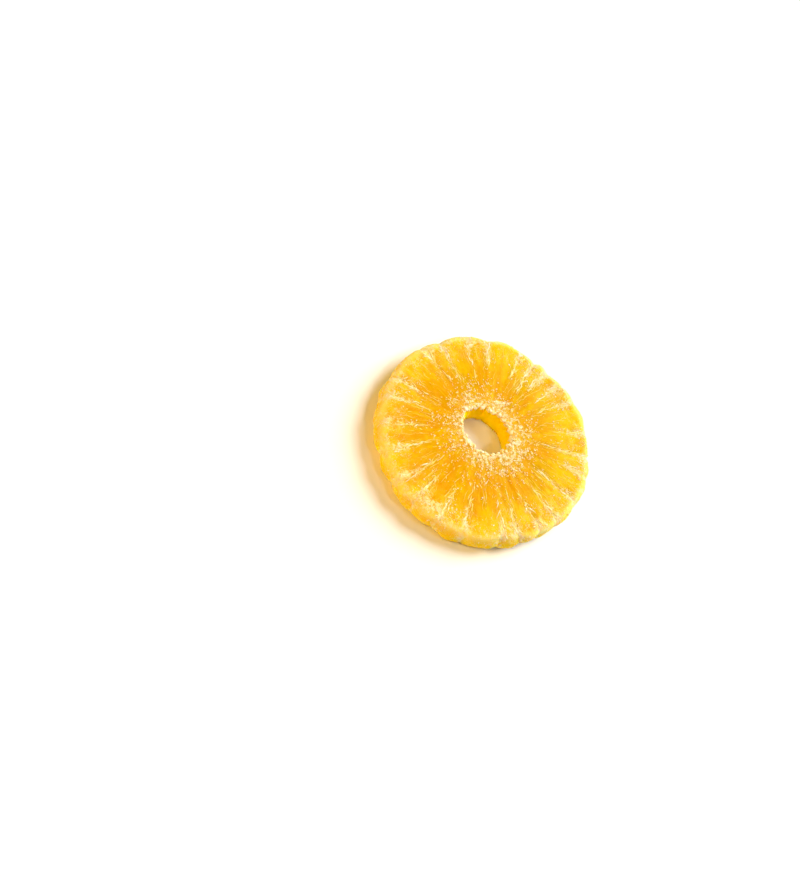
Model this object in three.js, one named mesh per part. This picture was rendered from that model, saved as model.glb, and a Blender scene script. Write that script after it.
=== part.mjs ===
// A candied pineapple ring: one thick cored slice of pineapple, soaked in syrup and dried.
// Units are millimetres and +Z is up. The ring lies flat with its better face up, and its
// origin is at the table, under the middle of its bounding box.
//
// The slice is swept as one closed cross-section round the core hole. Each section runs up
// the wall of the hole, over a crusted lip, out across the upper face, round the plump rim
// and back under the slice. Grooves between the fruitlets scallop the rim and run inwards
// on both faces, and the underside is pressed flat where the soft fruit meets the table.

import * as THREE from "three";

// Driving dimensions
const OUTER_RADIUS = 36.6;
const HOLE_RADIUS = 7.7;
const HOLE_OVAL = 0.6;
const HOLE_OVAL_TOWARDS_DEG = 172;
const HOLE_OFFSET = new THREE.Vector2(-1.2, 1.05);
const THICKNESS = 9;

// Shape of the cross-section
const RIM_DEPTH = 3.4;
const RIM_SQUARENESS = 0.9;
const EDGE_THINNING = 0.9;
const LIP_WIDTH = 1.4;
const LIP_HEIGHT = 1.1;
const WALL_BULGE = 0.45;
const COLLAR_RISE = 0.3;
const COLLAR_WIDTH = 0.16;
const FACE_DISH = 0.45;

// Grooves between the fruitlets: where each one meets the rim, counted from +X in degrees
const GROOVES_DEG = [
  3.6, 21.3, 33.5, 46.3, 63.6, 74.7, 85.1, 95, 105.4, 122.9, 137.1, 150, 163.5,
  187.1, 200.8, 215, 231, 247, 262.8, 277, 293, 312.7, 325, 335.9, 349,
];
const RIM_NOTCH = { least: 0.5, spread: 1.2, width: 2.8 };
const FACE_GROOVE = { least: 0.15, spread: 0.5, width: 1, innerLeast: 0.05, innerSpread: 0.6 };
const GROOVE_LEAN_DEG = 2.2;
const GROOVE_WANDER_DEG = 1.8;

// Unevenness: height of each kind of swelling, with how many fit round the slice
const RIM_SWELL = { height: 0.45, around: 7 };
const RIM_LUMPS = { height: 0.55, around: 44, rows: 1.8 };
const FACE_SWELL = { height: 0.3, around: 14, rows: 2.5 };
const FACE_RIDGES = { height: 0.13, around: 70, rows: 4 };
const WALL_FLUTES = { height: 0.2, around: 22 };
const LIP_CRINKLE = { height: 0.3, around: 40 };
const LIP_BUMPS = { height: 0.3, around: 36 };
const WARP = { height: 0.4, around: 3 };
const PRESSED_FLAT = 0.85;

// Steps of the surface: round the slice, and along each stretch of the section
const AROUND = 156;
const STEPS = { wall: 4, lip: 3, face: 10, rim: 8 };

// Repeatable random numbers from 0 to 1
function randomSource(seed) {
  let state = seed;
  return () => {
    state = (state * 16807) % 2147483647;
    return state / 2147483647;
  };
}

const TABLE_SIZE = 512;
const tableRandom = randomSource(20177);
const RANDOM_TABLE = Array.from({ length: TABLE_SIZE }, () => tableRandom());

function tableValue(i, j, seed) {
  const row = Math.floor(RANDOM_TABLE[(j + 37 * seed) & (TABLE_SIZE - 1)] * TABLE_SIZE);
  return 2 * RANDOM_TABLE[(i + row) & (TABLE_SIZE - 1)] - 1;
}

function smooth(t) {
  return t * t * (3 - 2 * t);
}

function smoothStep(low, high, x) {
  return smooth(Math.min(1, Math.max(0, (x - low) / (high - low))));
}

// Smooth noise from -1 to 1. It repeats after `period` whole steps of x.
function noise(x, y, period, seed) {
  const i = Math.floor(x);
  const j = Math.floor(y);
  const column = (k) => ((k % period) + period) % period;
  const across = smooth(x - i);
  const up = smooth(y - j);
  const at = (di, dj) => tableValue(column(i + di), j + dj, seed);
  const low = at(0, 0) + (at(1, 0) - at(0, 0)) * across;
  const high = at(0, 1) + (at(1, 1) - at(0, 1)) * across;
  return low + (high - low) * up;
}

function noiseRound(angle, y, around, seed) {
  return noise((angle / (2 * Math.PI)) * around, y, around, seed);
}

// The smaller angle between two directions, without sign
function angleBetween(a, b) {
  const turn = Math.abs(a - b) % (2 * Math.PI);
  return Math.min(turn, 2 * Math.PI - turn);
}

const grooveRandom = randomSource(911);
const GROOVES = GROOVES_DEG.map((degrees, index) => ({
  index,
  angle: THREE.MathUtils.degToRad(degrees),
  notch: RIM_NOTCH.least + RIM_NOTCH.spread * grooveRandom(),
  depth: FACE_GROOVE.least + FACE_GROOVE.spread * grooveRandom(),
  inner: FACE_GROOVE.innerLeast + FACE_GROOVE.innerSpread * grooveRandom(),
  lean: THREE.MathUtils.degToRad(GROOVE_LEAN_DEG) * (2 * grooveRandom() - 1),
}));

// How far the notches pull the rim in. level is -1 at the underside and 1 at the upper face.
function notchDepth(angle, level) {
  let depth = 0;
  for (const groove of GROOVES) {
    const away = angleBetween(angle, groove.angle + groove.lean * level);
    depth += groove.notch * Math.exp((-away * OUTER_RADIUS) / RIM_NOTCH.width);
  }
  return depth;
}

// How deep the grooves cut a face. out is 0 at the hole and 1 at the rim.
function grooveDepth(angle, out, radius, level) {
  let depth = 0;
  for (const groove of GROOVES) {
    const wander = THREE.MathUtils.degToRad(GROOVE_WANDER_DEG) * noise(4 * out, groove.index, 64, 3);
    const away = angleBetween(angle, groove.angle + groove.lean * level + wander * (1 - out));
    const fade = smoothStep(groove.inner, 1, out);
    depth += groove.depth * fade * Math.exp((-away * radius) / FACE_GROOVE.width);
  }
  return depth;
}

function rimRadius(angle, level) {
  const swell = RIM_SWELL.height * noiseRound(angle, 0.5, RIM_SWELL.around, 1);
  const lumps = RIM_LUMPS.height * noiseRound(angle, RIM_LUMPS.rows * level, RIM_LUMPS.around, 2);
  return OUTER_RADIUS + swell + lumps - notchDepth(angle, level);
}

function holeRadius(angle, level) {
  const oval = HOLE_OVAL * Math.cos(2 * (angle - THREE.MathUtils.degToRad(HOLE_OVAL_TOWARDS_DEG)));
  const flutes = WALL_FLUTES.height * noiseRound(angle, level, WALL_FLUTES.around, 4);
  const crinkle = LIP_CRINKLE.height * noiseRound(angle, 2 * level, LIP_CRINKLE.around, 9);
  return HOLE_RADIUS + oval + flutes + crinkle * level * level;
}

// Height of a face above or below its mean level, on one side of the slice
function faceRelief(angle, out, radius, level) {
  const side = level > 0 ? 0 : 10;
  const collar = COLLAR_RISE * Math.exp(-((out / COLLAR_WIDTH) ** 2));
  const dish = FACE_DISH * Math.sin(Math.PI * out) + EDGE_THINNING * smoothStep(0.4, 1, out);
  const swell = FACE_SWELL.height * noiseRound(angle, FACE_SWELL.rows * out, FACE_SWELL.around, 5 + side);
  const ridges = FACE_RIDGES.height * noiseRound(angle, FACE_RIDGES.rows * out, FACE_RIDGES.around, 6 + side);
  const lip = LIP_BUMPS.height * noiseRound(angle, 0.5, LIP_BUMPS.around, 7 + side);
  const lipShare = 1 - smoothStep(0, COLLAR_WIDTH, out);
  return collar - dish + swell + ridges * smoothStep(0, 0.3, out) + lip * lipShare
    - grooveDepth(angle, out, radius, level);
}

// One cross-section as stations: how far out from the hole's wall (0) to the rim (1) in share,
// extra millimetres that way, and the level from -1 (underside) to 1 (upper face)
function sectionStations() {
  const stations = [];
  const quarter = Math.PI / 2;
  const lipLevel = 1 - (2 * LIP_HEIGHT) / THICKNESS;
  for (let k = 0; k < STEPS.wall; k++) {
    const level = lipLevel * ((2 * k) / STEPS.wall - 1);
    stations.push({ inner: true, mm: -WALL_BULGE * (1 - (level / lipLevel) ** 2), level, face: 0 });
  }
  const lip = (k, sign) => {
    const turn = (quarter * k) / STEPS.lip;
    const level = sign * (lipLevel + (1 - lipLevel) * Math.sin(turn));
    stations.push({ inner: true, mm: LIP_WIDTH * (1 - Math.cos(turn)), level, face: Math.sin(turn) });
  };
  const rim = (k) => {
    const turn = quarter - (2 * quarter * k) / STEPS.rim;
    const level = Math.sign(turn) * Math.abs(Math.sin(turn)) ** RIM_SQUARENESS;
    const mm = -RIM_DEPTH * (1 - Math.cos(turn) ** RIM_SQUARENESS);
    stations.push({ inner: false, mm, level, face: level * level });
  };
  for (let k = 0; k < STEPS.lip; k++) lip(k, 1);
  for (let k = 0; k < STEPS.face; k++) stations.push({ along: k / STEPS.face, level: 1, face: 1 });
  for (let k = 0; k < STEPS.rim; k++) rim(k);
  for (let k = STEPS.face; k > 0; k--) stations.push({ along: k / STEPS.face, level: -1, face: 1 });
  for (let k = STEPS.lip; k > 0; k--) lip(k, -1);
  return stations;
}

// The point of the surface at an angle round the slice and a station of the section
function surfacePoint(angle, station) {
  const heading = new THREE.Vector2(Math.cos(angle), Math.sin(angle));
  const inner = heading.clone().multiplyScalar(holeRadius(angle, station.level)).add(HOLE_OFFSET);
  const outer = heading.clone().multiplyScalar(rimRadius(angle, station.level));
  const width = inner.distanceTo(outer);
  let fromInner = station.inner ? station.mm : width + (station.mm ?? 0);
  if (station.along !== undefined) {
    fromInner = LIP_WIDTH + (width - LIP_WIDTH - RIM_DEPTH) * station.along;
  }
  const out = fromInner / width;
  const place = inner.clone().lerp(outer, out);
  const relief = faceRelief(angle, Math.max(0, out), place.length(), station.level);
  const warp = WARP.height * noiseRound(angle, 0.5, WARP.around, 8) * out;
  const height = station.level * THICKNESS / 2 + Math.sign(station.level) * relief * station.face;
  return new THREE.Vector3(place.x, place.y, THICKNESS / 2 + height + warp);
}

function ringGeometry() {
  const stations = sectionStations();
  const positions = [];
  for (let a = 0; a < AROUND; a++) {
    const angle = (2 * Math.PI * a) / AROUND;
    for (const station of stations) {
      const point = surfacePoint(angle, station);
      positions.push(point.x, point.y, point.z);
    }
  }
  const faces = [];
  const count = stations.length;
  for (let a = 0; a < AROUND; a++) {
    const next = (a + 1) % AROUND;
    for (let s = 0; s < count; s++) {
      const up = (s + 1) % count;
      const corners = [a * count + s, next * count + s, next * count + up, a * count + up];
      faces.push(corners[0], corners[3], corners[1], corners[1], corners[3], corners[2]);
    }
  }
  const geometry = new THREE.BufferGeometry();
  geometry.setAttribute("position", new THREE.Float32BufferAttribute(positions, 3));
  geometry.setIndex(faces);
  return geometry;
}

// Sets the slice down: its lowest parts are pressed flat at the table, and the origin comes
// under the middle of the bounding box.
function setDown(geometry) {
  const position = geometry.getAttribute("position");
  geometry.computeBoundingBox();
  const table = geometry.boundingBox.min.z + PRESSED_FLAT;
  for (let k = 0; k < position.count; k++) {
    position.setZ(k, Math.max(position.getZ(k), table));
  }
  geometry.computeBoundingBox();
  const middle = geometry.boundingBox.getCenter(new THREE.Vector3());
  geometry.translate(-middle.x, -middle.y, -table);
  geometry.computeVertexNormals();
  return geometry;
}

const candiedFlesh = new THREE.MeshStandardMaterial({ color: 0xf9b414, roughness: 0.45, metalness: 0 });
const ring = new THREE.Mesh(setDown(ringGeometry()), candiedFlesh);
ring.name = "pineapple_ring";

const slice = new THREE.Group();
slice.add(ring);
export default slice;
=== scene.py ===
# A candied pineapple ring, dressed for rendering: the flesh with its grooves and fine relief,
# the pale fibres that run out from the core, and the sugar that has dried on its surface.
# Lengths are metres in Blender's objects, lights and camera, and millimetres everywhere else.

import math

import bmesh
import bpy
import numpy as np
from mathutils import Matrix, Vector


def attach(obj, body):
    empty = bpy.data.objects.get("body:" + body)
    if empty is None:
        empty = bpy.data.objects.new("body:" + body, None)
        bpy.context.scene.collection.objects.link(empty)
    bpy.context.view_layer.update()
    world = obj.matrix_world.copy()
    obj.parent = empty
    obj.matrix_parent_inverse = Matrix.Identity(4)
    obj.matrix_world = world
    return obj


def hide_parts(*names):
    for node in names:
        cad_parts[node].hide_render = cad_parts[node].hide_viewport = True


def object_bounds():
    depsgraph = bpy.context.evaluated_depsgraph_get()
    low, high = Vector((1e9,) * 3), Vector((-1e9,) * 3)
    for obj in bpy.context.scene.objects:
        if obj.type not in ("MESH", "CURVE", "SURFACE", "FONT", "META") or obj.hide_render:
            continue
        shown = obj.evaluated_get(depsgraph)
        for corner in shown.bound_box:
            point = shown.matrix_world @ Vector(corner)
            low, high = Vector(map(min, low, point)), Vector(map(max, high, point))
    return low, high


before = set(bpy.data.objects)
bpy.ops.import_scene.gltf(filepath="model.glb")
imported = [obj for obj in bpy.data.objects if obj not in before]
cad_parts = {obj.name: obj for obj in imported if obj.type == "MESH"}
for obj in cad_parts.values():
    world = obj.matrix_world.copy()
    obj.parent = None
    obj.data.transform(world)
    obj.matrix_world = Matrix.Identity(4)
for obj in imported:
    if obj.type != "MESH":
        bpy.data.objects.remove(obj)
cad_low, cad_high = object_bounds()

MM = 0.001
NODE = "pineapple_ring"
BODY = "root"

# Driving dimensions of the slice, in millimetres
OUTER_RADIUS = 36.6
HOLE_RADIUS = 7.7
HOLE_OVAL = 0.6
HOLE_OVAL_TOWARDS = math.radians(172)
HOLE_OFFSET = np.array([-1.2, 1.05])
THICKNESS = 9.0
RIM_DEPTH = 3.4
RIM_SQUARENESS = 0.9
EDGE_THINNING = 0.9
LIP_WIDTH = 1.4
LIP_HEIGHT = 1.1
WALL_BULGE = 0.45
COLLAR_RISE = 0.3
COLLAR_WIDTH = 0.16
FACE_DISH = 0.45
PRESSED_FLAT = 0.85

# Grooves between the fruitlets: where each one meets the rim, counted from +X in degrees
GROOVES_DEG = [
    3.6, 21.3, 33.5, 46.3, 63.6, 74.7, 85.1, 95, 105.4, 122.9, 137.1, 150, 163.5,
    187.1, 200.8, 215, 231, 247, 262.8, 277, 293, 312.7, 325, 335.9, 349,
]
RIM_NOTCH = {"least": 0.5, "spread": 1.2, "width": 2.8}
FACE_GROOVE = {"least": 0.15, "spread": 0.5, "width": 1, "inner_least": 0.05, "inner_spread": 0.6}
GROOVE_LEAN = math.radians(2.2)
GROOVE_WANDER = math.radians(1.8)

# Unevenness: height in millimetres, how many fit round the slice, and how many across
RIM_SWELL = {"height": 0.45, "around": 7}
RIM_LUMPS = {"height": 0.55, "around": 44, "across": 1.8}
FACE_SWELL = {"height": 0.3, "around": 14, "across": 2.5}
FACE_RIDGES = {"height": 0.13, "around": 70, "across": 4}
WALL_FLUTES = {"height": 0.2, "around": 22}
LIP_CRINKLE = {"height": 0.3, "around": 40}
LIP_BUMPS = {"height": 0.3, "around": 36}
WARP = {"height": 0.4, "around": 3}

# Fine relief of the skin, too small for the solid. Lengths and sizes are in millimetres.
FINE_RIDGES = {"height": 0.055, "around": 120, "length": 5}
FINEST_RIDGES = {"height": 0.012, "around": 400}
PITS = {"height": 0.08, "size": 1.9}
GRAIN = {"height": 0.03, "size": 0.6}
RIM_WRINKLES = {"height": 0.09, "around": 130}
CRUST = {"height": 0.16, "size": 0.8}
LIP_TEETH = {"height": 0.55, "around": 22, "jitter": 1.9}

# Where the sugar lies: how far the seams reach, the middle and reach of each broad patch near
# the rim, and how far in from the wall the crust at the lip begins, with its swing in and out
SEAM_WIDTH = 1.6
FROSTED_PATCHES = [(-1.5, -32, 3.2), (4.5, -31.5, 3.2), (-24, -22.5, 2.0)]
CRUST_EDGE = {"middle": 0.85, "swing": 0.7, "ragged": 0.3}

# Steps of the skin's mesh: round the slice, and along each stretch of its section
AROUND = 720
STEPS = {"wall": 12, "lip": 6, "face": 54, "rim": 22, "under": 34}


# Repeatable noise

RANDOM_FACTOR = 16807
RANDOM_RANGE = 2147483647
TABLE_SIZE = 512
TABLE_SEED = 20177
SEED_STEP = 37
GROOVE_SEED = 911


def random_stream(seed):
    """Random numbers from 0 to 1, the same ones each time."""
    while True:
        seed = seed * RANDOM_FACTOR % RANDOM_RANGE
        yield seed / RANDOM_RANGE


TABLE = np.fromiter(random_stream(TABLE_SEED), float, TABLE_SIZE)


def table_value(i, j, seed):
    row = np.floor(TABLE[(j + SEED_STEP * seed) & (TABLE_SIZE - 1)] * TABLE_SIZE).astype(int)
    return 2 * TABLE[(i + row) & (TABLE_SIZE - 1)] - 1


def smooth(t):
    """Eases t from 0 to 1."""
    return t * t * (3 - 2 * t)


def smooth_step(low, high, x):
    return smooth(np.clip((x - low) / (high - low), 0, 1))


def noise(x, y, period, seed):
    """Smooth noise from -1 to 1 that repeats after `period` whole steps of x.

    Each seed, here and in the functions below, gives another pattern.
    """
    x, y = np.broadcast_arrays(np.asarray(x, float), np.asarray(y, float))
    i = np.floor(x).astype(int)
    j = np.floor(y).astype(int)
    across = smooth(x - i)
    up = smooth(y - j)
    left, right = i % period, (i + 1) % period
    low = table_value(left, j, seed) * (1 - across) + table_value(right, j, seed) * across
    high = table_value(left, j + 1, seed) * (1 - across) + table_value(right, j + 1, seed) * across
    return low + (high - low) * up


def noise_round(angle, y, around, seed):
    """Smooth noise with `around` cells in a full turn, which meets itself at its end."""
    return noise(angle / (2 * math.pi) * around, y, around, seed)


def noise_solid(points, size, seed):
    """Smooth noise from -1 to 1 through space, with cells `size` across."""
    cell = points / size
    base = np.floor(cell).astype(int)
    part = smooth(cell - base)
    total = np.zeros(len(points))
    for corner in range(8):
        step = np.array([corner & 1, corner >> 1 & 1, corner >> 2 & 1])
        share = np.prod(np.where(step, part, 1 - part), axis=1)
        i, j, k = (base + step).T
        layer = np.floor(TABLE[(k + SEED_STEP * seed) & (TABLE_SIZE - 1)] * TABLE_SIZE).astype(int)
        total += share * table_value(i, j + layer, seed)
    return total


def angle_between(a, b):
    """The smaller turn between two angles, in radians."""
    turn = np.abs(a - b) % (2 * math.pi)
    return np.minimum(turn, 2 * math.pi - turn)


# The slice's own form

def make_grooves():
    draw = random_stream(GROOVE_SEED)
    grooves = []
    for index, degrees in enumerate(GROOVES_DEG):
        grooves.append({
            "index": index,
            "angle": math.radians(degrees),
            "notch": RIM_NOTCH["least"] + RIM_NOTCH["spread"] * next(draw),
            "depth": FACE_GROOVE["least"] + FACE_GROOVE["spread"] * next(draw),
            "inner": FACE_GROOVE["inner_least"] + FACE_GROOVE["inner_spread"] * next(draw),
            "lean": GROOVE_LEAN * (2 * next(draw) - 1),
        })
    return grooves


GROOVES = make_grooves()


def notch_depth(angle, level):
    """How far the notches pull the rim in. level is -1 at the underside and 1 at the upper face."""
    depth = 0
    for groove in GROOVES:
        away = angle_between(angle, groove["angle"] + groove["lean"] * level)
        depth = depth + groove["notch"] * np.exp(-away * OUTER_RADIUS / RIM_NOTCH["width"])
    return depth


def groove_depth(angle, out, radius, level):
    """How deep the grooves cut a face. out is 0 at the hole and 1 at the rim."""
    depth = 0
    for groove in GROOVES:
        wander = GROOVE_WANDER * noise(4 * out, groove["index"], 64, 3)
        away = angle_between(angle, groove["angle"] + groove["lean"] * level + wander * (1 - out))
        fade = smooth_step(groove["inner"], 1, out)
        depth = depth + groove["depth"] * fade * np.exp(-away * radius / FACE_GROOVE["width"])
    return depth


def rim_radius(angle, level):
    """How far out the rim reaches, with its swell, lumps and notches."""
    swell = RIM_SWELL["height"] * noise_round(angle, 0.5, RIM_SWELL["around"], 1)
    lumps = RIM_LUMPS["height"] * noise_round(angle, RIM_LUMPS["across"] * level, RIM_LUMPS["around"], 2)
    return OUTER_RADIUS + swell + lumps - notch_depth(angle, level)


def hole_radius(angle, level):
    """How wide the core hole is, slightly oval, fluted along its wall and crinkled at its lips."""
    oval = HOLE_OVAL * np.cos(2 * (angle - HOLE_OVAL_TOWARDS))
    flutes = WALL_FLUTES["height"] * noise_round(angle, level, WALL_FLUTES["around"], 4)
    crinkle = LIP_CRINKLE["height"] * noise_round(angle, 2 * level, LIP_CRINKLE["around"], 9)
    return HOLE_RADIUS + oval + flutes + crinkle * level * level


def side_noise(angle, y, unevenness, seed, level):
    """Height of one kind of unevenness. The upper face and the underside each have their own."""
    upper = noise_round(angle, y, unevenness["around"], seed)
    under = noise_round(angle, y, unevenness["around"], seed + 10)
    return unevenness["height"] * np.where(level > 0, upper, under)


def face_relief(angle, out, radius, level):
    """Height of a face above or below its mean level."""
    collar = COLLAR_RISE * np.exp(-(out / COLLAR_WIDTH) ** 2)
    dish = FACE_DISH * np.sin(math.pi * out) + EDGE_THINNING * smooth_step(0.4, 1, out)
    swell = side_noise(angle, FACE_SWELL["across"] * out, FACE_SWELL, 5, level)
    ridges = side_noise(angle, FACE_RIDGES["across"] * out, FACE_RIDGES, 6, level)
    lip = side_noise(angle, 0.5, LIP_BUMPS, 7, level)
    lip_share = 1 - smooth_step(0, COLLAR_WIDTH, out)
    return (collar - dish + swell + ridges * smooth_step(0, 0.3, out) + lip * lip_share
            - groove_depth(angle, out, radius, level))


def section_stations(steps):
    """One cross-section, from the foot of the hole's wall up, out, round the rim and back.

    A row is: millimetres out from the hole's wall, share of the flat of a face, millimetres
    out from the rim, level from -1 to 1, share of the face's relief, and 0, 1 or 2 for which
    of the first three counts.
    """
    quarter = math.pi / 2
    lip_level = 1 - 2 * LIP_HEIGHT / THICKNESS
    rows = []
    for k in range(steps["wall"]):
        level = lip_level * (2 * k / steps["wall"] - 1)
        rows.append((-WALL_BULGE * (1 - (level / lip_level) ** 2), 0, 0, level, 0, 0))

    def lip(k, sign):
        turn = quarter * k / steps["lip"]
        level = sign * (lip_level + (1 - lip_level) * math.sin(turn))
        rows.append((LIP_WIDTH * (1 - math.cos(turn)), 0, 0, level, math.sin(turn), 0))

    for k in range(steps["lip"]):
        lip(k, 1)
    for k in range(steps["face"]):
        rows.append((0, k / steps["face"], 0, 1, 1, 1))
    for k in range(steps["rim"]):
        turn = quarter - 2 * quarter * k / steps["rim"]
        level = math.copysign(abs(math.sin(turn)) ** RIM_SQUARENESS, turn)
        from_rim = -RIM_DEPTH * (1 - math.cos(turn) ** RIM_SQUARENESS)
        rows.append((0, 0, from_rim, level, level * level, 2))
    for k in range(steps["under"], 0, -1):
        rows.append((0, k / steps["under"], 0, -1, 1, 1))
    for k in range(steps["lip"], 0, -1):
        lip(k, -1)
    return np.array(rows, float)


def slice_form(around, steps):
    """Points of the slice in millimetres, one row of stations for each angle, and their out."""
    stations = section_stations(steps)
    angle = (2 * math.pi * np.arange(around) / around)[:, None]
    from_wall, along, from_rim, level, face, kind = (column[None, :] for column in stations.T)
    heading = np.stack([np.cos(angle), np.sin(angle)], axis=-1)
    inner = heading * hole_radius(angle, level)[..., None] + HOLE_OFFSET
    outer = heading * rim_radius(angle, level)[..., None]
    width = np.linalg.norm(outer - inner, axis=-1)
    flat = LIP_WIDTH + (width - LIP_WIDTH - RIM_DEPTH) * along
    out = np.select([kind == 0, kind == 1], [from_wall + 0 * width, flat], width + from_rim) / width
    place = inner + (outer - inner) * out[..., None]
    relief = face_relief(angle, np.maximum(0, out), np.linalg.norm(place, axis=-1), level)
    warp = WARP["height"] * noise_round(angle, 0.5, WARP["around"], 8) * out
    height = THICKNESS / 2 * (1 + level) + np.sign(level) * relief * face + warp
    return np.concatenate([place, height[..., None]], axis=-1), out


# The solid's own steps, which settle where the table and the origin are
SOLID_AROUND = 156
SOLID_STEPS = {"wall": 4, "lip": 3, "face": 10, "rim": 8, "under": 10}


def set_down_shift():
    """How far the form moves so that its flat underside is at Z 0 and its middle at the origin."""
    points = slice_form(SOLID_AROUND, SOLID_STEPS)[0].reshape(-1, 3)
    table = points[:, 2].min() + PRESSED_FLAT
    middle = (points.min(axis=0) + points.max(axis=0)) / 2
    return np.array([-middle[0], -middle[1], -table])


# The skin: the same form on a fine mesh, with the relief of fibres, wrinkles and crust

def section_run(points):
    """Mean distance in millimetres along the section to each station, from the hole's wall."""
    step = np.linalg.norm(np.diff(points, axis=1), axis=-1).mean(axis=0)
    return np.concatenate([[0], np.cumsum(step)])


def grid_normals(points):
    """Outward unit normals of a grid that closes on itself both ways."""
    round_step = np.roll(points, -1, axis=0) - np.roll(points, 1, axis=0)
    section_step = np.roll(points, -1, axis=1) - np.roll(points, 1, axis=1)
    normal = np.cross(round_step, section_step)
    length = np.linalg.norm(normal, axis=-1, keepdims=True)
    return -normal / np.maximum(length, 1e-9)


def ridged(value):
    """Turns smooth noise into thin crests: 1 on a crest and -1 far from one."""
    return 1 - 2 * np.sqrt(np.abs(value))


def lip_teeth(angle, run):
    """The crinkle of the hole's lip: about 1 on a tooth and -1 between two, with uneven sizes."""
    jitter = LIP_TEETH["jitter"] * noise_round(angle, run / 3, 9, 28)
    size = 0.75 + 0.7 * noise_round(angle, 0.5, 19, 30)
    teeth = size * (2 * np.abs(np.sin(LIP_TEETH["around"] / 2 * angle + jitter)) - 1)
    return 0.75 * teeth + 0.5 * noise_round(angle, run / 2, 47, 47)


def fine_relief(points, angle, run, gap, rim_share):
    """Height of the skin's fine relief in millimetres, and how pale a fibre runs there.

    gap is the way along the skin from the edge of the hole's wall, out over the nearer face.
    """
    flat_points = points.reshape(-1, 3)

    # Ridges that run outwards over the faces, and come and go
    sway = 0.03 * noise_round(angle, run / 7, 26, 20)
    crest = ridged(noise_round(angle + sway, run / 6, FINE_RIDGES["around"], 21))
    strength = smooth_step(-0.5, 0.6, noise_round(angle, run / FINE_RIDGES["length"], 34, 22))
    face_share = smooth_step(1.5, 6, gap)
    height = FINE_RIDGES["height"] * np.maximum(crest, -0.4) * strength * face_share
    finest = noise_round(angle + sway, run / 2.5, FINEST_RIDGES["around"], 23)
    height += FINEST_RIDGES["height"] * finest * face_share

    # Pits and grain all over, and wrinkles along the rim
    height += PITS["height"] * noise_solid(flat_points, PITS["size"], 24).reshape(gap.shape)
    grain = noise_solid(flat_points, GRAIN["size"], 25).reshape(gap.shape)
    height += GRAIN["height"] * grain * (0.6 + rim_share)
    wrinkle = ridged(noise_round(angle, run / 1.1, RIM_WRINKLES["around"], 26))
    height += RIM_WRINKLES["height"] * np.maximum(wrinkle, -0.3) * rim_share

    # Crust near the hole, and the teeth of its lip
    crust_share = np.exp(-(gap / 3.2) ** 2) * smooth_step(-0.5, 0.3, gap)
    crust = np.maximum(0, noise_solid(flat_points, CRUST["size"], 27).reshape(gap.shape) + 0.25)
    height += CRUST["height"] * crust * crust_share
    reach = np.where(gap > 0.6, 0.8, 1.6)
    height += LIP_TEETH["height"] * lip_teeth(angle, run) * np.exp(-((gap - 0.6) / reach) ** 2)
    pale = smooth_step(0.1, 0.85, crest) * strength * face_share
    return height, pale


def seam_share(angle, out, level):
    """1 at the seams between fruitlets, where they reach the rim, and 0 away from them."""
    share = 0
    for groove in GROOVES:
        sway = 0.02 * noise(6 * out, groove["index"], 64, 29)
        away = angle_between(angle, groove["angle"] + groove["lean"] * level + sway)
        share = share + np.exp(-away * OUTER_RADIUS / SEAM_WIDTH)
    return np.clip(share, 0, 1) * smooth_step(0.4, 0.95, out)


def frosted_share(skin):
    """1 in the middle of the broad frosted patches near the rim, and 0 away from them."""
    share = 0
    for x, y, reach in FROSTED_PATCHES:
        away = np.linalg.norm(skin[..., :2] - np.array([x, y]), axis=-1)
        share = share + np.exp(-(away / reach) ** 2)
    return 0.75 * np.clip(share, 0, 1)


def make_skin():
    """The grid of the skin in millimetres, its normals, and what varies over it."""
    rough, out = slice_form(AROUND, STEPS)
    points = rough + set_down_shift()
    run = section_run(points)
    _, _, _, level, _, kind = section_stations(STEPS).T
    angle = (2 * math.pi * np.arange(AROUND) / AROUND)[:, None]
    wall = (kind == 0) & (np.abs(level) < 1 - 2 * LIP_HEIGHT / THICKNESS - 1e-6)
    upper = level > 0

    # Distance along the skin from the wall's upper edge, or on the underside from the lower one
    gap = np.where(wall | upper, run - run[STEPS["wall"]], run[-1] - run + 1)
    gap = np.broadcast_to(gap, out.shape)
    rim_share = smooth_step(0.80, 0.95, out)
    normals = grid_normals(points)
    height, pale = fine_relief(points, angle, run[None, :], gap, rim_share)

    # The relief fades out where the section closes on itself, and stays above the table
    joint = smooth_step(0, 1.5, run) * (1 - smooth_step(run[-1] - 1.5, run[-1], run))
    skin = points + normals * (height * joint[None, :])[..., None]
    skin[..., 2] = np.maximum(skin[..., 2], 0)
    radius = np.linalg.norm(skin[..., :2], axis=-1)
    groove = np.clip(groove_depth(angle, np.maximum(0, out), radius, level[None, :]) / 0.6, 0, 1)
    seam = np.maximum(seam_share(angle, out, level[None, :]), frosted_share(skin) * (level > 0))

    # The ragged edge of the crust at the lip
    ragged = CRUST_EDGE["ragged"] * noise_solid(skin.reshape(-1, 3), 0.6, 46).reshape(out.shape)
    swing = CRUST_EDGE["swing"] * lip_teeth(angle, run[None, :])
    crust_edge = CRUST_EDGE["middle"] - swing + ragged
    return {
        "points": skin,
        "normals": grid_normals(skin),
        "run": run,
        "out": np.clip(out, 0, 1),
        "gap": gap,
        "lip": gap - crust_edge,
        "level": np.broadcast_to(level, out.shape),
        "rim": rim_share,
        "pale": pale,
        "groove": groove,
        "seam": seam,
        "edge": rim_share * smooth_step(0.05, 0.75, np.broadcast_to(level, out.shape)),
        "upper_start": STEPS["wall"] + STEPS["lip"],
    }


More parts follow.
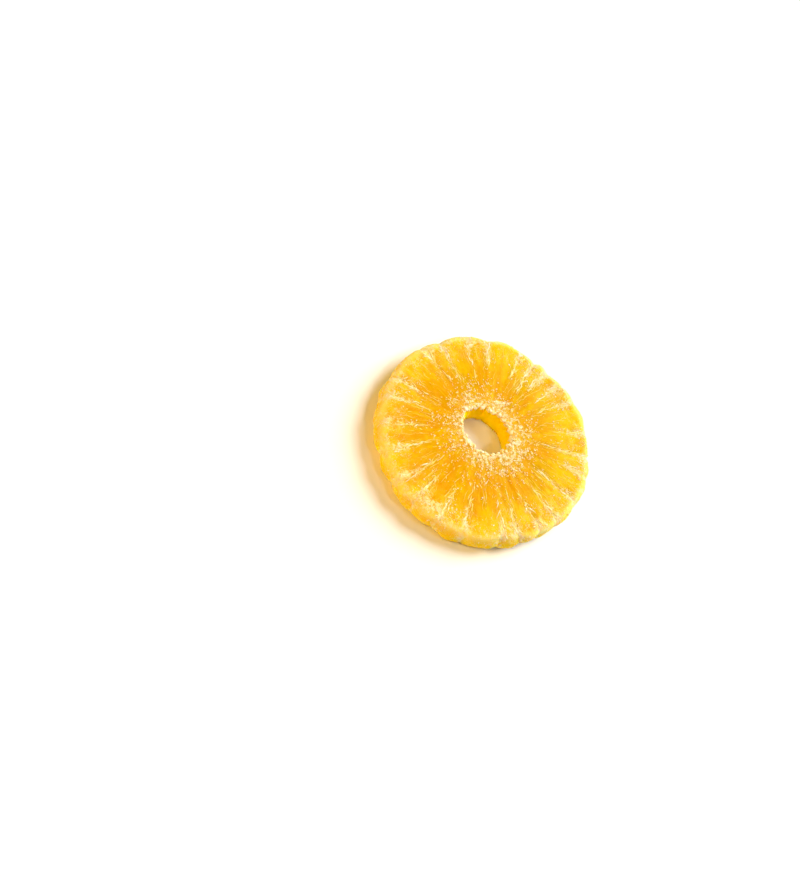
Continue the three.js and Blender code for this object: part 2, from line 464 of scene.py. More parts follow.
def sample(grid, angle, station):
    """Values of a grid between its points, at angles in radians and stations as fractions."""
    column = angle / (2 * math.pi) * AROUND
    i = np.floor(column).astype(int)
    j = np.floor(station).astype(int)
    across = (column - i)[..., None]
    along = (station - j)[..., None]
    left, right = i % AROUND, (i + 1) % AROUND
    low, high = j % grid.shape[1], (j + 1) % grid.shape[1]
    near = grid[left, low] * (1 - across) + grid[right, low] * across
    far = grid[left, high] * (1 - across) + grid[right, high] * across
    return near * (1 - along) + far * along


def new_mesh(name, points, faces, smooth_faces, values=None):
    """A mesh object from points in millimetres, with its point values as attributes."""
    mesh = bpy.data.meshes.new(name)
    mesh.from_pydata((points.reshape(-1, 3) * MM).tolist(), [], faces.tolist())
    mesh.polygons.foreach_set("use_smooth", np.full(len(mesh.polygons), smooth_faces))
    for key, value in (values or {}).items():
        layer = mesh.attributes.new(key, "FLOAT", "POINT")
        layer.data.foreach_set("value", np.ascontiguousarray(value, dtype=np.float32).ravel())
    mesh.update()
    piece = bpy.data.objects.new(name, mesh)
    bpy.context.scene.collection.objects.link(piece)
    return piece


def grid_faces(around, count):
    """Quads of a grid that closes on itself both ways, facing out."""
    a = np.arange(around)[:, None] * count
    after = np.roll(a, -1, axis=0)
    s = np.arange(count)[None, :]
    up = np.roll(s, -1, axis=1)
    corners = [a + s, a + up, after + up, after + s]
    return np.stack(corners, axis=-1).reshape(-1, 4)


# What the flesh's material reads from each point of its mesh
FLESH_ATTRIBUTES = ("out", "gap", "lip", "rim", "edge", "groove", "seam")


def make_flesh(skin):
    around, count = skin["out"].shape
    values = {key: skin[key] for key in FLESH_ATTRIBUTES}
    return new_mesh("ring_flesh", skin["points"], grid_faces(around, count), True, values)


# Fibres: thin flattened strands that lie half sunk in the skin

FIBRE_POINTS = 13
FIBRE_SIDES = 6
FIBRE_FLATNESS = 0.55
FIBRE_CLEARANCE = 0.02
FIBRE_SEED = 71

# How far the upper face runs from the lip to the rim, in millimetres
FACE_RUN = 27.0

# How many of each kind: three for each groove, and three over the whole ring
VEINS = 5
TWIGS = 8
STAR_RAYS = 9
HAIRS = 210
DASHES = 330
SIDE_HAIRS = 150


def groove_angle(groove, out):
    """Which way a groove lies on the upper face, at that share of the way out."""
    wander = GROOVE_WANDER * noise(4 * out, groove["index"], 64, 3)
    return groove["angle"] + groove["lean"] + float(wander) * (1 - out)


def fibre_paths(random):
    """Where each fibre starts, which way it heads (0 is straight out), its length, width and tint.

    Veins lie along the grooves with side twigs, end in a star near the rim, and have fainter
    hairs and short dashes between them. The last ones run along the rim's side.
    """
    paths = []

    def add(angle, run, heading, lengths, widths, tints):
        length = random.uniform(*lengths)
        width = random.uniform(*widths)
        paths.append((angle, run, heading, length, width, random.uniform(*tints)))

    for groove in GROOVES:
        for _ in range(VEINS):
            run = FACE_RUN * random.uniform(max(0.3, groove["inner"]), 0.8)
            angle = groove_angle(groove, run / FACE_RUN) + random.normal(0, 0.012)
            add(angle, run, random.normal(0, 0.05), (2.5, 7), (0.14, 0.28), (0.5, 1))
        for _ in range(TWIGS):
            run = FACE_RUN * random.uniform(0.5, 0.9)
            angle = groove_angle(groove, run / FACE_RUN) + random.normal(0, 0.01)
            heading = random.choice([-1, 1]) * random.uniform(0.2, 0.7)
            add(angle, run, heading, (0.9, 3), (0.10, 0.20), (0.4, 1))
        star = FACE_RUN * random.uniform(0.84, 0.95)
        for _ in range(STAR_RAYS):
            angle = groove_angle(groove, 1) + random.normal(0, 0.015)
            heading = random.choice([0, math.pi]) + random.normal(0, 0.6)
            add(angle, star + random.normal(0, 0.4), heading, (0.8, 2.4), (0.14, 0.30), (0.6, 1))
    for _ in range(HAIRS):
        angle = random.uniform(0, 2 * math.pi)
        run = random.uniform(7, 22)
        add(angle, run, random.normal(0, 0.08), (2.5, 8), (0.06, 0.11), (0.1, 0.7))
    for _ in range(DASHES):
        angle = random.uniform(0, 2 * math.pi)
        run = 2.5 + FACE_RUN * random.uniform(0, 1) ** 1.5
        add(angle, run, random.normal(0, 0.4), (0.4, 1.5), (0.08, 0.19), (0.3, 1))
    for _ in range(SIDE_HAIRS):
        angle = random.uniform(0, 2 * math.pi)
        heading = math.pi / 2 + random.normal(0, 0.2)
        add(angle, random.uniform(26, 35), heading, (1.5, 6), (0.07, 0.15), (0.1, 0.7))
    return np.array(paths)


def make_fibres(skin):
    random = np.random.RandomState(FIBRE_SEED)
    paths = fibre_paths(random)
    angle0, run0, heading, length, width, tint = (column[:, None] for column in paths.T)

    # The middle line of each fibre, which bends as it follows the skin
    share = np.linspace(0, 1, FIBRE_POINTS)[None, :]
    number = np.arange(len(paths))[:, None]
    bend = 0.45 * noise(share * length / 1.8, number, 4096, 31)
    travel = length * share
    run = run0 + travel * np.cos(heading) + 0.25 * bend * np.sin(heading)
    face_start = skin["run"][skin["upper_start"]]
    station = np.interp(run, skin["run"] - face_start, np.arange(len(skin["run"])))
    mean_radius = np.linalg.norm(skin["points"][..., :2], axis=-1).mean(axis=0)
    radius = np.interp(station, np.arange(len(mean_radius)), mean_radius)
    angle = angle0 + (travel * np.sin(heading) + bend * np.cos(heading)) / radius
    centre = sample(skin["points"], angle, station)
    normal = sample(skin["normals"], angle, station)
    normal /= np.linalg.norm(normal, axis=-1, keepdims=True)
    tangent = np.gradient(centre, axis=1)
    tangent /= np.linalg.norm(tangent, axis=-1, keepdims=True)
    side = np.cross(normal, tangent)

    # Its width along the way, thin at both ends and knotty between, and how deep it sinks
    taper = np.sin(math.pi * np.clip(share, 0.02, 0.98)) ** 0.6
    knots = 0.8 + 0.45 * noise(share * length / 0.55, number, 4096, 32)
    half_width = width * taper * knots
    half_height = FIBRE_FLATNESS * half_width
    sink = 0.9 * half_height * noise(share * length / 0.9, number, 4096, 33)

    # A ring of points round each step of the middle line
    turn = 2 * math.pi * np.arange(FIBRE_SIDES) / FIBRE_SIDES
    across = (half_width[..., None] * np.cos(turn))[..., None] * side[:, :, None, :]
    upward = (half_height[..., None] * np.sin(turn))[..., None] * normal[:, :, None, :]
    rings = (centre + sink[..., None] * normal)[:, :, None, :] + across + upward
    rings[..., 2] = np.maximum(rings[..., 2], FIBRE_CLEARANCE)
    tints = {"tint": tint.repeat(FIBRE_POINTS * FIBRE_SIDES)}
    return new_mesh("fibre_strands", rings, strand_faces(len(paths)), True, tints)


def strand_faces(strands):
    """Triangles of closed tubes whose points come strand by strand and ring by ring."""
    one = []
    for ring in range(FIBRE_POINTS - 1):
        for k in range(FIBRE_SIDES):
            after = (k + 1) % FIBRE_SIDES
            a, b = ring * FIBRE_SIDES + k, ring * FIBRE_SIDES + after
            c, d = b + FIBRE_SIDES, a + FIBRE_SIDES
            one += [(a, b, c), (a, c, d)]
    last = (FIBRE_POINTS - 1) * FIBRE_SIDES
    for k in range(1, FIBRE_SIDES - 1):
        one.append((0, k + 1, k))
        one.append((last, last + k, last + k + 1))
    one = np.array(one)
    start = np.arange(strands)[:, None, None] * FIBRE_POINTS * FIBRE_SIDES
    return (start + one).reshape(-1, 3)


# Sugar: small irregular grains, flattened on the skin and half sunk in it

# How many grains, their least and most radius in millimetres, the seed of their places, and how
# finely each is divided: 1 gives flat facets and 2 a rounder knob
COARSE_SUGAR = {"count": 9400, "sizes": (0.08, 0.31), "seed": 51, "divisions": 1}
FINE_SUGAR = {"count": 7500, "sizes": (0.05, 0.11), "seed": 52, "divisions": 1}
LIP_KNOBS = {"count": 190, "sizes": (0.28, 0.62), "seed": 53, "divisions": 2}

# How much a grain is flattened, and how far its middle lies above the skin as a share of its size
GRAIN_FLATTENING = 0.35
GRAIN_LIFT = 0.12

# Grains stay this far above the table, and rise no further than this above the solid
GRAIN_CLEARANCE = 0.01
GRAIN_HEADROOM = 0.2


def grain_shape(divisions):
    """Corners and faces of a ball of triangles with radius 1, the start of every grain."""
    shape = bmesh.new()
    bmesh.ops.create_icosphere(shape, subdivisions=divisions, radius=1)
    corners = np.array([tuple(corner.co) for corner in shape.verts])
    faces = np.array([[corner.index for corner in face.verts] for face in shape.faces])
    shape.free()
    return corners, faces


def random_turns(random, count):
    """One random rotation matrix for each grain."""
    q = random.normal(size=(count, 4))
    w, x, y, z = (q / np.linalg.norm(q, axis=1, keepdims=True)).T
    return np.stack([
        np.stack([1 - 2 * (y * y + z * z), 2 * (x * y - w * z), 2 * (x * z + w * y)], axis=-1),
        np.stack([2 * (x * y + w * z), 1 - 2 * (x * x + z * z), 2 * (y * z - w * x)], axis=-1),
        np.stack([2 * (x * z - w * y), 2 * (y * z + w * x), 1 - 2 * (x * x + y * y)], axis=-1),
    ], axis=1)


def scatter(skin, density, count, random):
    """Random places on the skin, more where density is high: angles and stations."""
    points = skin["points"]
    across = np.roll(points, -1, axis=0) - points
    along = np.roll(points, -1, axis=1) - points
    area = np.linalg.norm(np.cross(across, along), axis=-1)
    total = np.cumsum((area * density).ravel())
    cell = np.searchsorted(total, random.uniform(0, total[-1], count))
    i, j = np.divmod(cell, points.shape[1])
    angle = (i + random.uniform(0, 1, count)) / AROUND * 2 * math.pi
    return angle, j + random.uniform(0, 1, count)


def make_grains(name, skin, density, count, sizes, seed, divisions):
    """Grains of sugar on the skin, more where density is high."""
    random = np.random.RandomState(seed)
    corners, faces = grain_shape(divisions)
    angle, station = scatter(skin, density, count, random)
    place = sample(skin["points"], angle, station)
    normal = sample(skin["normals"], angle, station)
    least, most = sizes
    size = least + (most - least) * random.uniform(0, 1, count) ** 2
    stretch = random.uniform(0.5, 1.4, (count, 1, 3))
    dent = random.uniform(0.55, 1.2, (count, len(corners), 1))
    shape = corners[None] * dent * stretch * size[:, None, None]
    shape = np.einsum("nij,nkj->nki", random_turns(random, count), shape)
    rise = np.einsum("nij,nj->ni", shape, normal)
    shape -= GRAIN_FLATTENING * rise[..., None] * normal[:, None, :]
    grains = shape + (place + normal * (GRAIN_LIFT * size)[:, None])[:, None, :]
    grains[..., 2] = np.clip(grains[..., 2], GRAIN_CLEARANCE, cad_high[2] / MM + GRAIN_HEADROOM)
    start = np.arange(count)[:, None, None] * len(corners)
    # Random tint per grain, and lower on each grain's underside near the flesh: partly a syrup-wet foot,
    # partly painted warm light in the shaded gaps, as though coming through the flesh
    tint = 0.75 * random.uniform(0, 1, (count, 1)) + 0.25 * rise / size[:, None]
    return new_mesh(name, grains, (start + faces).reshape(-1, 3), divisions > 1, {"tint": tint})


def sugar_density(skin):
    """How thick the coarse sugar lies: a crust at the hole's lip, thinning out over the face."""
    points = skin["points"].reshape(-1, 3)
    shape = skin["gap"].shape
    patches = smooth_step(-0.2, 0.5, noise_solid(points, 3.4, 41).reshape(shape))
    crumbs = smooth_step(-0.05, 0.3, noise_solid(points, 0.6, 44).reshape(shape))
    gap = skin["gap"]
    bare = skin["lip"] < 0
    lip = 0.6 * np.exp(-((skin["lip"] - 0.2) / 0.7) ** 2) * (0.2 + 0.8 * crumbs)
    crust = 0.65 * np.exp(-(gap / 6.8) ** 2) * crumbs * (0.4 + 0.6 * patches)
    spread = 0.03 * np.exp(-gap / 8) * patches * crumbs
    clumps = smooth_step(0.3, 0.7, noise_solid(points, 2.6, 42).reshape(shape))
    edge = 0.06 * clumps * crumbs * smooth_step(0.6, 0.95, skin["out"])
    above = skin["normals"][..., 2] > np.where(skin["out"] < 0.3, -0.4, 0.3)
    seams = 0.2 * skin["seam"] * crumbs * patches
    return (lip + crust + spread + edge + seams) * above * ~bare


def knob_density(skin):
    """Where the larger knobs of crust sit: on the edge of the hole's lip, in groups."""
    lip = skin["lip"]
    grouping = noise_solid(skin["points"].reshape(-1, 3), 2.2, 45).reshape(lip.shape)
    groups = 0.25 + smooth_step(-0.1, 0.3, grouping)
    return np.exp(-((lip - 0.25) / 0.4) ** 2) * (np.abs(lip) < 0.9) * (skin["level"] > 0) * groups


def frost_density(skin):
    """How thick the fine sugar lies: over the rim, along grooves and fibres, and at the lip."""
    points = skin["points"].reshape(-1, 3)
    shape = skin["gap"].shape
    patches = smooth_step(0.0, 0.5, noise_solid(points, 1.2, 43).reshape(shape))
    rim = skin["edge"] * (0.05 + 0.3 * patches)
    lip = 0.9 * np.exp(-(skin["gap"] / 5) ** 2) * (skin["lip"] > 0) * (0.15 + 0.85 * patches)
    lines = (0.15 * skin["pale"] + 0.9 * skin["seam"] + 0.3 * skin["groove"]) * patches
    above = skin["normals"][..., 2] > np.where(skin["out"] < 0.3, -0.4, 0.1)
    return (rim + lip + lines) * above


# Materials

def linear(red, green, blue):
    """A colour given as 0 to 255 on the screen, as Blender's shaders want it."""
    def one(value):
        share = value / 255
        return share / 12.92 if share <= 0.04045 else ((share + 0.055) / 1.055) ** 2.4
    return (one(red), one(green), one(blue), 1)


class Nodes:
    """Short names for the shader nodes that the materials are built from."""

    def __init__(self, name):
        self.material = bpy.data.materials.new(name)
        self.material.use_nodes = True
        self.tree = self.material.node_tree
        self.tree.nodes.clear()
        self.shader = self.add("ShaderNodeBsdfPrincipled")
        output = self.add("ShaderNodeOutputMaterial")
        self.link(self.shader.outputs["BSDF"], output.inputs["Surface"])

    def add(self, kind):
        return self.tree.nodes.new(kind)

    def link(self, source, target):
        self.tree.links.new(source, target)

    def feed(self, socket, value):
        if isinstance(value, bpy.types.NodeSocket):
            self.link(value, socket)
        else:
            socket.default_value = value

    def math(self, operation, *values, clamp=False):
        node = self.add("ShaderNodeMath")
        node.operation = operation
        node.use_clamp = clamp
        for socket, value in zip(node.inputs, values):
            self.feed(socket, value)
        return node.outputs[0]

    def vector(self, operation, *values):
        node = self.add("ShaderNodeVectorMath")
        node.operation = operation
        for socket, value in zip(node.inputs, values):
            self.feed(socket, value)
        return node.outputs["Value" if operation in ("LENGTH", "DOT_PRODUCT") else "Vector"]

    def join(self, x, y, z):
        node = self.add("ShaderNodeCombineXYZ")
        for socket, value in zip(node.inputs, (x, y, z)):
            self.feed(socket, value)
        return node.outputs[0]

    def place(self):
        """Where the surface is, in millimetres, so the scale of a noise is for each millimetre."""
        coordinates = self.add("ShaderNodeTexCoord").outputs["Object"]
        return self.vector("MULTIPLY", coordinates, (1 / MM, 1 / MM, 1 / MM))

    def value(self, attribute):
        node = self.add("ShaderNodeAttribute")
        node.attribute_name = attribute
        return node.outputs["Fac"]

    def noise(self, vector, scale, detail=2.0, roughness=0.5, distortion=0.0):
        node = self.add("ShaderNodeTexNoise")
        self.link(vector, node.inputs["Vector"])
        node.inputs["Scale"].default_value = scale
        node.inputs["Detail"].default_value = detail
        node.inputs["Roughness"].default_value = roughness
        node.inputs["Distortion"].default_value = distortion
        return node.outputs["Fac"]

    def sway(self, place, scale, reach):
        """A soft random shift in each direction, up to reach."""
        node = self.add("ShaderNodeTexNoise")
        self.link(place, node.inputs["Vector"])
        node.inputs["Scale"].default_value = scale
        node.inputs["Detail"].default_value = 2
        return self.vector("MULTIPLY", node.outputs["Color"], (reach, reach, reach))

    def share(self, value, amount):
        """A value times a plain number."""
        return self.math("MULTIPLY", value, amount)

    def step(self, value, low, high):
        """0 below low and 1 above high, smooth between; low may be the higher one."""
        node = self.add("ShaderNodeMapRange")
        node.interpolation_type = "SMOOTHSTEP"
        self.feed(node.inputs["Value"], value)
        if low < high:
            node.inputs["From Min"].default_value = low
            node.inputs["From Max"].default_value = high
        else:
            node.inputs["From Min"].default_value = high
            node.inputs["From Max"].default_value = low
            node.inputs["To Min"].default_value = 1
            node.inputs["To Max"].default_value = 0
        return node.outputs["Result"]

    def mix(self, share, a, b):
        node = self.add("ShaderNodeMix")
        node.data_type = "RGBA"
        self.feed(node.inputs["Factor"], share)
        self.feed(node.inputs[6], a)
        self.feed(node.inputs[7], b)
        return node.outputs[2]

    def ramp(self, value, stops):
        node = self.add("ShaderNodeValToRGB")
        self.link(value, node.inputs["Fac"])
        ramp = node.color_ramp
        while len(ramp.elements) < len(stops):
            ramp.elements.new(0.5)
        for element, (position, colour) in zip(ramp.elements, stops):
            element.position = position
            element.color = colour
        return node.outputs["Color"]

    def bump(self, height, distance, strength=1.0):
        node = self.add("ShaderNodeBump")
        node.inputs["Strength"].default_value = strength
        node.inputs["Distance"].default_value = distance
        self.link(height, node.inputs["Height"])
        self.link(node.outputs["Normal"], self.shader.inputs["Normal"])

    def thin_lines(self, noise, width):
        """1 where the noise crosses its middle, in lines of about that width, and 0 elsewhere."""
        away = self.math("ABSOLUTE", self.math("SUBTRACT", noise, 0.5))
        return self.step(away, width, 0.0)

    def polar(self, place, around, outwards, sway):
        """Coordinates in which noise runs in streaks straight out from the middle."""
        shift = self.vector("MULTIPLY", place, (1, 1, 0))
        heading = self.vector("NORMALIZE", shift)
        distance = self.vector("LENGTH", shift)
        wide = self.vector("MULTIPLY", heading, (around, around, around))
        reach = self.join(0.0, 0.0, self.math("MULTIPLY", distance, outwards))
        return self.vector("ADD", self.vector("ADD", wide, reach), sway)


# Colours, from 0 to 255 on the screen
CORE = linear(217, 168, 0)
AMBER = linear(215, 157, 0)
GOLD = linear(217, 164, 0)
YELLOW = linear(228, 189, 1)
PALE_RIM = linear(254, 223, 106)
DEEP = linear(216, 144, 0)
# The hole's wall: its flesh painted brighter, a painted glow as of light coming through the flesh
WALL_WITH_PAINTED_GLOW = linear(255, 214, 1)
# The rim's side: its yellow flesh painted brighter, a painted glow as of light coming through the rim
SIDE_WITH_PAINTED_GLOW = linear(251, 207, 4)
SOAKED = linear(252, 192, 50)
FIBRE = linear(255, 218, 118)
FROST = linear(253, 226, 158)
SUGAR = linear(252, 239, 208)

# Painted glow: the flesh is yellower towards the lit side: direction in the slice, and how much for each
# millimetre
LIT_SIDE_PAINTED_GLOW = (0.0034, 0.0028, 0)


def flesh_colour(n, place, at, sway):
    """Orange at the core and yellow at the rim, in wedges and streaks that run outwards, and painted
    yellower towards the lit side as a glow.
    """
    patch = n.noise(place, 0.13, 3, 0.55)
    ripeness_and_painted_glow = n.math("ADD", at["out"], n.share(n.math("SUBTRACT", patch, 0.5), 0.55))
    # Painted glow: yellower towards the side the light comes from
    ripeness_and_painted_glow = n.math("ADD", ripeness_and_painted_glow, n.vector("DOT_PRODUCT", place, LIT_SIDE_PAINTED_GLOW))
    colour = n.ramp(ripeness_and_painted_glow, [(0.0, CORE), (0.3, AMBER), (0.56, GOLD), (0.82, YELLOW), (1.0, YELLOW)])
    wedge = n.noise(n.polar(place, 5, 0.05, sway), 1.0, 3, 0.55)
    colour = n.mix(n.share(n.step(wedge, 0.52, 0.34), 0.5), colour, DEEP)
    colour = n.mix(n.share(n.step(wedge, 0.5, 0.68), 0.6), colour, YELLOW)
    streak = n.noise(n.polar(place, 18, 0.06, sway), 1.0, 3, 0.55)
    colour = n.mix(n.share(n.step(streak, 0.5, 0.32), 0.35), colour, DEEP)
    return n.mix(n.share(n.step(streak, 0.52, 0.72), 0.4), colour, YELLOW)


def vein_cover(n, place, at, sway):
    """Fine broken veins that run outwards, most at the seams: 1 on a vein and 0 away from one."""
    vein_noise = n.noise(n.polar(place, 16, 0.08, sway), 1.0, 3, 0.6)
    broken = n.step(n.noise(place, 0.55, 2, 0.6), 0.46, 0.62)
    veins = n.math("MULTIPLY", n.thin_lines(vein_noise, 0.035), broken)
    hair_noise = n.noise(n.polar(place, 34, 0.14, sway), 1.0, 2, 0.5)
    hairs = n.math("MULTIPLY", n.thin_lines(hair_noise, 0.04), n.step(n.noise(place, 0.8), 0.56, 0.68))
    near_seam = n.math("ADD", 0.1, at["seam"])
    cover = n.math("ADD", n.math("MULTIPLY", veins, near_seam), n.share(hairs, 0.08))
    return n.math("MULTIPLY", cover, n.step(at["out"], 0.12, 0.35), clamp=True)


def frost_cover(n, place, at, fine):
    """Dried sugar in patches on the rim, in the seams and grooves, and in the crust at the lip."""
    blots = n.noise(place, 0.9, 4, 0.62)
    broad = n.noise(place, 0.3, 2, 0.5)
    reach = n.math("ADD", n.share(at["edge"], 0.05), n.share(at["seam"], 0.24))
    cover = n.math("ADD", n.math("ADD", blots, n.share(broad, 0.5)), reach)
    frosted = n.math("ADD", at["edge"], n.step(at["seam"], 0.1, 0.5), clamp=True)
    rim_frost = n.math("MULTIPLY", n.step(cover, 0.88, 0.98), frosted)
    net = n.thin_lines(n.noise(place, 0.7, 3, 0.6, 0.6), 0.035)
    outer_net = n.math("MULTIPLY", n.step(at["out"], 0.6, 0.9), net)
    rim_net = n.math("MULTIPLY", outer_net, n.step(broad, 0.35, 0.6))
    groove_frost = n.math("MULTIPLY", at["groove"], n.step(fine, 0.5, 0.62))
    crust_reach = n.math("MULTIPLY", n.step(at["gap"], 11.0, 1.0), n.step(at["lip"], 0.0, 0.3))
    crust_noise = n.math("ADD", fine, n.share(n.step(at["gap"], 8.0, 0.0), 0.11))
    crust = n.math("MULTIPLY", n.step(crust_noise, 0.6, 0.7), crust_reach)
    on_rim = n.math("MAXIMUM", rim_frost, rim_net)
    return n.math("MAXIMUM", on_rim, n.math("MAXIMUM", groove_frost, crust))


def flesh_material():
    n = Nodes("candied_flesh")
    place = n.place()
    at = {key: n.value(key) for key in FLESH_ATTRIBUTES}
    sway = n.sway(place, 0.35, 1.6)
    fine = n.noise(place, 1.9, 4, 0.7)
    veins = vein_cover(n, place, at, sway)
    frost = frost_cover(n, place, at, fine)

    # Layers of colour, from the flesh up to the sugar
    colour = n.mix(n.share(veins, 0.75), flesh_colour(n, place, at, sway), FIBRE)
    colour = n.mix(n.share(n.step(fine, 0.57, 0.72), 0.24), colour, SOAKED)
    band = n.math("MULTIPLY", at["edge"], n.step(at["out"], 0.88, 0.97))
    colour = n.mix(n.share(band, 0.9), colour, PALE_RIM)
    # The rim's side and underside edge, painted brighter yellow as a painted glow of light through the
    # flesh
    colour = n.mix(n.share(n.math("SUBTRACT", at["rim"], at["edge"]), 0.85), colour, SIDE_WITH_PAINTED_GLOW)
    colour = n.mix(n.share(n.step(at["gap"], 10.0, 0.0), 0.36), colour, SOAKED)
    # The hole's wall, painted brighter as a painted glow of light through the flesh
    colour = n.mix(n.step(at["lip"], 0.2, -0.1), colour, WALL_WITH_PAINTED_GLOW)
    colour = n.mix(n.share(frost, 0.85), colour, FROST)
    crown = n.math("MULTIPLY", n.step(at["lip"], 0.9, 0.35), n.step(at["lip"], 0.0, 0.2))
    colour = n.mix(n.share(crown, 0.65), colour, SUGAR)
    n.link(colour, n.shader.inputs["Base Color"])

    # Finish: a thin syrup gloss on bare flesh, dull where sugar has dried
    roughness = n.math("ADD", 0.16, n.share(frost, 0.32))
    roughness = n.math("ADD", roughness, n.share(n.noise(place, 0.9, 3, 0.6), 0.22))
    n.link(roughness, n.shader.inputs["Roughness"])
    relief = n.math("ADD", n.share(frost, 0.6), n.share(veins, 0.5))
    relief = n.math("ADD", relief, n.share(fine, 0.35))
    n.bump(relief, 0.0001, 0.8)
    set_translucent(n.shader, 0.9, 0.0032, 0.02)
    return n.material


def set_translucent(shader, weight, reach, gloss=0.2):
    """Light goes in and comes out again nearby, red furthest and blue hardly at all.

    reach is in metres.
    """
    shader.inputs["Subsurface Weight"].default_value = weight
    shader.inputs["Subsurface Radius"].default_value = (1.0, 0.55, 0.12)
    shader.inputs["Subsurface Scale"].default_value = reach
    shader.inputs["IOR"].default_value = 1.45
    shader.inputs["Specular IOR Level"].default_value = gloss


def fibre_material():
    n = Nodes("dried_fibre")
    place = n.place()
    blotch = n.noise(place, 0.9, 3, 0.6)
    tint = n.math("ADD", n.share(n.value("tint"), 0.7), n.math("SUBTRACT", blotch, 0.35))
    colour = n.ramp(tint, [(0.0, YELLOW), (0.3, PALE_RIM), (0.6, FIBRE), (0.9, SUGAR)])
    n.link(colour, n.shader.inputs["Base Color"])
    n.link(n.math("ADD", 0.35, n.share(blotch, 0.3)), n.shader.inputs["Roughness"])
    n.bump(n.noise(place, 5.0, 3, 0.6), 0.00005, 0.7)
    set_translucent(n.shader, 0.35, 0.00012)
    return n.material


def sugar_material(name, weight):
    n = Nodes(name)
    place = n.place()
    blotch = n.noise(place, 1.3, 3, 0.6)
    # Low tints, on each grain's lower side, take the warm syrup colours: partly a wet foot, partly
    # painted warm light in the shaded gaps
    tint = n.math("ADD", n.value("tint"), n.share(n.math("SUBTRACT", blotch, 0.4), 0.6))
    colour = n.ramp(tint, [(0.0, SOAKED), (0.2, FIBRE), (0.45, FROST), (0.8, SUGAR)])
    n.link(colour, n.shader.inputs["Base Color"])
    n.link(n.math("ADD", 0.14, n.share(blotch, 0.3)), n.shader.inputs["Roughness"])
    n.bump(n.noise(place, 7.0, 2, 0.6), 0.00003, 0.5)
    set_translucent(n.shader, weight, 0.00015)
    return n.material


# The pieces

skin = make_skin()
flesh = make_flesh(skin)
fibres = make_fibres(skin)
sugar = make_grains("sugar_grains", skin, sugar_density(skin), **COARSE_SUGAR)
frost = make_grains("sugar_frost", skin, frost_density(skin), **FINE_SUGAR)
knobs = make_grains("lip_crust", skin, knob_density(skin), **LIP_KNOBS)

for piece, material in (
    (flesh, flesh_material()),
    (fibres, fibre_material()),
    (sugar, sugar_material("sugar_crystal", 0.15)),
    (frost, sugar_material("fine_sugar", 0.15)),
    (knobs, sugar_material("sugar_crust", 0.25)),
):
    piece.data.materials.append(material)
    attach(piece, BODY)
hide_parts(NODE)


# Floor, light and camera

FLOOR_SIZE = 12.0
FLOOR_COLOUR = (0.89, 0.89, 0.89, 1)
WORLD_LIGHT = 0.11

# Even light from far away, as from a wide window: which way it lies, and how wide it looks
KEY_PLACE = (1.25, 2.25, 2.0)
KEY_STRENGTH = 4.6
KEY_SPREAD = math.radians(42)

# Round lamps near the ring: place, size, power and colour
LAMPS = {
    "sparkle": ((0.45, -0.1, 0.9), 0.2, 1.3, (1, 1, 1)),
    "card": ((-0.5, -0.62, 0.8), 0.5, 4.9, (1.0, 0.74, 0.2)),
    "warm_bounce": ((-0.078, -0.115, 0.055), 0.08, 0.075, (1.0, 0.47, 0.01)),
}


def make_floor():
    half = FLOOR_SIZE / 2
    mesh = bpy.data.meshes.new("floor")
    corners = [(-half, -half, 0), (half, -half, 0), (half, half, 0), (-half, half, 0)]
    mesh.from_pydata(corners, [], [(0, 1, 2, 3)])
    floor = bpy.data.objects.new("floor", mesh)
    bpy.context.scene.collection.objects.link(floor)
    n = Nodes("pale_floor")
    n.shader.inputs["Base Color"].default_value = FLOOR_COLOUR
    n.shader.inputs["Roughness"].default_value = 0.6
    n.shader.inputs["Specular IOR Level"].default_value = 0.1
    mesh.materials.append(n.material)


def aim_at_origin(light, place):
    """Puts a light there, pointing at the origin."""
    holder = bpy.data.objects.new(light.name, light)
    holder.location = place
    holder.rotation_mode = "QUATERNION"
    holder.rotation_quaternion = Vector(place).to_track_quat("Z", "Y")
    bpy.context.scene.collection.objects.link(holder)


def make_key():
    light = bpy.data.lights.new("key", "SUN")
    light.energy = KEY_STRENGTH
    light.angle = KEY_SPREAD
    aim_at_origin(light, KEY_PLACE)


def make_lamp(name, place, size, power, colour):
    light = bpy.data.lights.new(name, "AREA")
    light.shape = "DISK"
    light.size = size
    light.energy = power
    light.color = colour
    aim_at_origin(light, place)


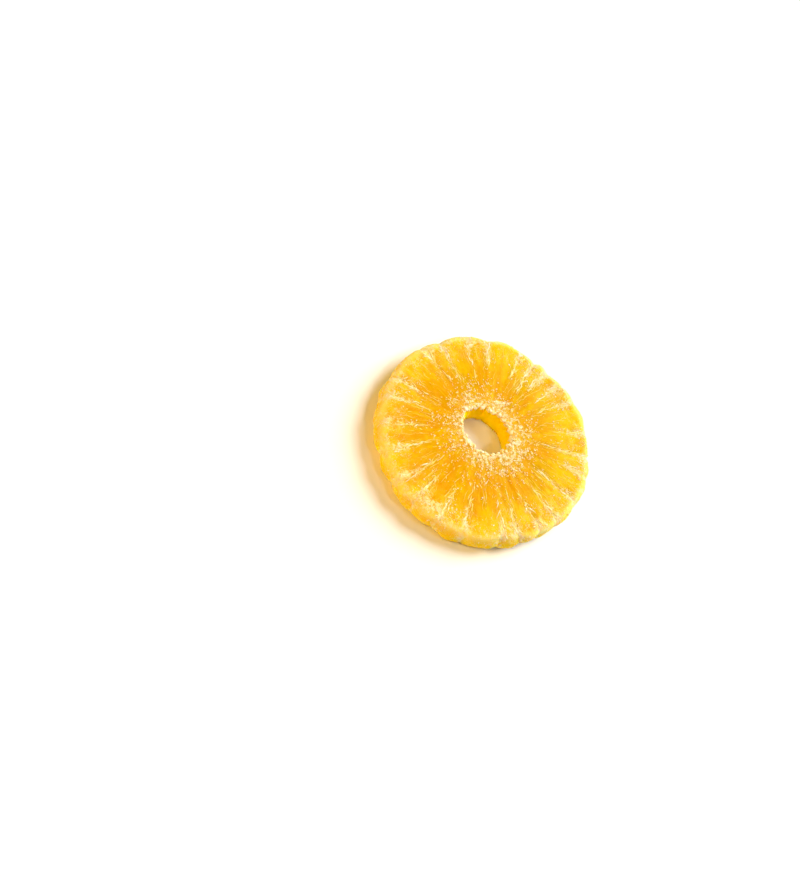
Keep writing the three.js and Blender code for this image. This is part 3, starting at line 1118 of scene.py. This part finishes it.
def make_world():
    world = bpy.data.worlds.new("soft_room")
    world.use_nodes = True
    background = world.node_tree.nodes["Background"]
    background.inputs["Color"].default_value = (1, 1, 1, 1)
    background.inputs["Strength"].default_value = WORLD_LIGHT
    bpy.context.scene.world = world


# The picture's size, where the ring's middle lies in it, and its scale, in pixels
IMAGE_WIDTH, IMAGE_HEIGHT = 800, 877
RING_PIXEL = (482.3, 441.2)
PIXELS_PER_MM = 3.14
LENS = 85.0
SENSOR = 36.0
CAMERA_ELEVATION = math.radians(59)
CAMERA_ROLL = math.radians(39.8)
RING_MIDDLE = Vector((0, 0, 0.0045))
NEAREST_SEEN, FURTHEST_SEEN = 0.01, 20


def make_camera():
    """The camera looks down along +Y, rolled so that the ring leans as it does in the picture."""
    distance = LENS / SENSOR * IMAGE_HEIGHT / PIXELS_PER_MM * MM
    forward = Vector((0, math.cos(CAMERA_ELEVATION), -math.sin(CAMERA_ELEVATION)))
    level_right = Vector((1, 0, 0))
    level_up = level_right.cross(forward)
    right = math.cos(CAMERA_ROLL) * level_right + math.sin(CAMERA_ROLL) * level_up
    up = -math.sin(CAMERA_ROLL) * level_right + math.cos(CAMERA_ROLL) * level_up
    pixel = MM / PIXELS_PER_MM
    aside = (RING_PIXEL[0] - IMAGE_WIDTH / 2) * pixel
    above = (IMAGE_HEIGHT / 2 - RING_PIXEL[1]) * pixel
    place = RING_MIDDLE - right * aside - up * above - forward * distance
    camera_data = bpy.data.cameras.new("camera")
    camera_data.lens = LENS
    camera_data.sensor_width = SENSOR
    camera_data.clip_start = NEAREST_SEEN
    camera_data.clip_end = FURTHEST_SEEN
    camera = bpy.data.objects.new("camera", camera_data)
    turn = Matrix((right, up, -forward)).transposed()
    camera.matrix_world = Matrix.Translation(place) @ turn.to_4x4()
    bpy.context.scene.collection.objects.link(camera)
    bpy.context.scene.camera = camera


make_floor()
make_world()
make_key()
for name, settings in LAMPS.items():
    make_lamp(name, *settings)
make_camera()

scene = bpy.context.scene
scene.view_settings.view_transform = "Standard"
scene.view_settings.look = "None"
